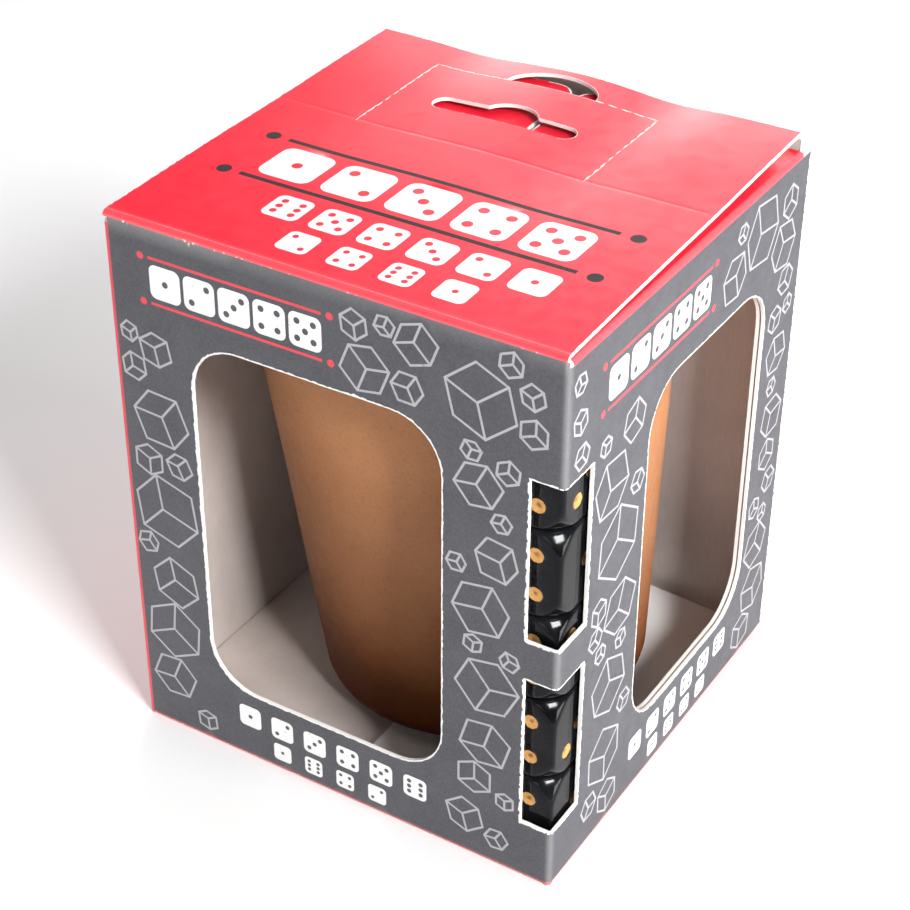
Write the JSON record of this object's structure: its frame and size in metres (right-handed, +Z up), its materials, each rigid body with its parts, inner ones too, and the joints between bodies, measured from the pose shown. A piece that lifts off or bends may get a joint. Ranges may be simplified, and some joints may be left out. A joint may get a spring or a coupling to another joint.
{
  "type": "boxed dice cup",
  "caption": "Tapered leather dice cup in a two-window board carton with a hinged tuck lid and hanging tab, and a stack of dice in a corner chute.",
  "frame": {"origin": "centre of the carton's rectangular underside", "axes": "+Z up, longest side of the carton; the front panel, with the lid's fold, faces -Y; the panel with the second window faces +X"},
  "size_m": [0.082, 0.0804, 0.1024],
  "materials": {
    "printed_red": "semi-gloss printed board",
    "printed_charcoal": "satin printed board",
    "bare_board": "uncoated warm grey-white board",
    "cup_leather": "matte fine-grained tan leather",
    "cup_former": "matte",
    "cup_felt": "felt",
    "die_gloss_black": "polished, pips filled gold"
  },
  "bodies": {
    "carton": {"front_panel": "printed_charcoal", "right_panel": "printed_charcoal", "back_panel": "printed_red", "left_panel": "printed_red", "right_liner": "bare_board", "chute_partition": "bare_board", "chute_glue_flap": "bare_board", "chute_floor_tab": "bare_board", "bottom_panel": "printed_red", "left_bottom_dust_flap": "bare_board", "right_bottom_dust_flap": "bare_board"},
    "lid": {"lid_panel": "printed_red"},
    "hanging_tab": {"hang_tab": "printed_red"},
    "tuck_flap": {"lid_tuck_flap": "printed_red"},
    "left_dust_flap": {"left_top_dust_flap": "printed_red"},
    "right_dust_flap": {"right_top_dust_flap": "printed_red"},
    "cup": {"cup_outer_wall": "cup_leather", "cup_base_disc": "cup_leather", "cup_core": "cup_former", "cup_lining": "cup_felt", "cup_floor_pad": "cup_felt", "cup_rim_binding": "cup_leather"},
    "die_1_body": {"die_1": "die_gloss_black"},
    "die_2_body": {"die_2": "die_gloss_black"},
    "die_3_body": {"die_3": "die_gloss_black"},
    "die_4_body": {"die_4": "die_gloss_black"},
    "die_5_body": {"die_5": "die_gloss_black"}
  },
  "joints": [
    {"name": "lid_hinge", "type": "hinge", "parent": "carton", "child": "lid", "pos_m": [0, -0.04025, 0.09925], "axis": [1, 0, 0], "range_deg": [0, 150]},
    {"name": "hang_tab_hinge", "type": "hinge", "parent": "lid", "child": "hanging_tab", "pos_m": [-0.00385, 0.00606, 0.10138], "axis": [1, 0, 0], "range_deg": [0, 90]},
    {"name": "tuck_flap_hinge", "type": "hinge", "parent": "lid", "child": "tuck_flap", "pos_m": [-0.001, 0.03932, 0.10161], "axis": [1, 0, 0], "range_deg": [0, 30]},
    {"name": "left_flap_hinge", "type": "hinge", "parent": "carton", "child": "left_dust_flap", "pos_m": [-0.041, -0.00025, 0.09835], "axis": [0, -1, 0], "range_deg": [0, 90]},
    {"name": "right_flap_hinge", "type": "hinge", "parent": "carton", "child": "right_dust_flap", "pos_m": [0.041, -0.00025, 0.09835], "axis": [0, 1, 0], "range_deg": [0, 90]},
    {"name": "cup_lift", "type": "slide", "parent": "carton", "child": "cup", "axis": [0, 0, 1], "range_m": [0, 0.0035]},
    {"name": "die_5_slide", "type": "slide", "parent": "carton", "child": "die_5_body", "axis": [0, 0, 1], "range_m": [0, 0.013]},
    {"name": "die_1_slide", "type": "slide", "parent": "carton", "child": "die_1_body", "axis": [0, 0, 1], "range_m": [0, 0.0026]},
    {"name": "die_2_slide", "type": "slide", "parent": "carton", "child": "die_2_body", "axis": [0, 0, 1], "range_m": [0, 0.0052]},
    {"name": "die_3_slide", "type": "slide", "parent": "carton", "child": "die_3_body", "axis": [0, 0, 1], "range_m": [0, 0.0078]},
    {"name": "die_4_slide", "type": "slide", "parent": "carton", "child": "die_4_body", "axis": [0, 0, 1], "range_m": [0, 0.0104]}
  ],
  "couplings": [
    {"joint": "tuck_flap_hinge", "follows": "lid_hinge", "ratio": 0.2},
    {"joint": "left_flap_hinge", "follows": "lid_hinge", "ratio": 0.6},
    {"joint": "right_flap_hinge", "follows": "lid_hinge", "ratio": 0.6},
    {"joint": "die_1_slide", "follows": "die_5_slide", "ratio": 0.2},
    {"joint": "die_2_slide", "follows": "die_5_slide", "ratio": 0.4},
    {"joint": "die_3_slide", "follows": "die_5_slide", "ratio": 0.6},
    {"joint": "die_4_slide", "follows": "die_5_slide", "ratio": 0.8}
  ]
}
